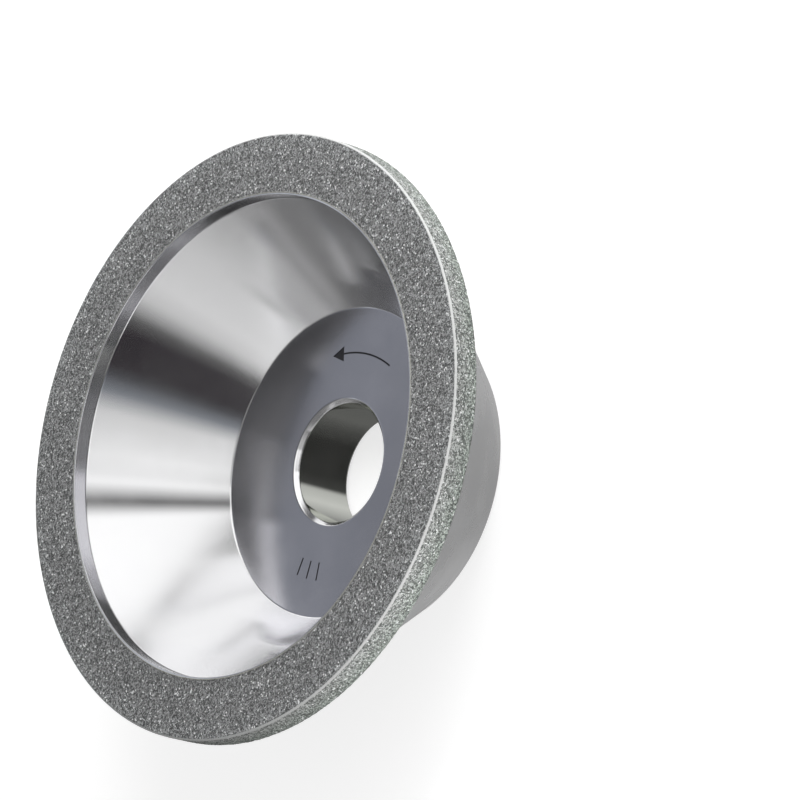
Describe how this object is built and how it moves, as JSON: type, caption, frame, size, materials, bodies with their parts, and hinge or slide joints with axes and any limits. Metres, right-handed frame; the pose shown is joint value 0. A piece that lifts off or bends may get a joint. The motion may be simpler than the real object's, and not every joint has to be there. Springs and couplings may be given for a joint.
{
  "type": "diamond grinding wheel",
  "caption": "Cup-shaped diamond grinding wheel: a diamond face ring on a turned metal bowl with a bored hub that clamps to a grinder spindle.",
  "frame": {"origin": "centre of the back mounting face, on the spindle axis", "axes": "+Z along the spindle axis, out of the grinding face; +X through the middle of the engraved spin arrow"},
  "size_m": [0.1, 0.1, 0.035],
  "materials": {
    "turned_metal": "mirror-polished cone and band, satin turned hub faces",
    "bond_resin": "cured pale grey bonding resin",
    "diamond_grit": "diamond grit in grey-green resin, dressed flat"
  },
  "bodies": {
    "root": {"wheel_body": "turned_metal", "bond_layer": "bond_resin", "diamond_ring": "diamond_grit"}
  },
  "joints": []
}
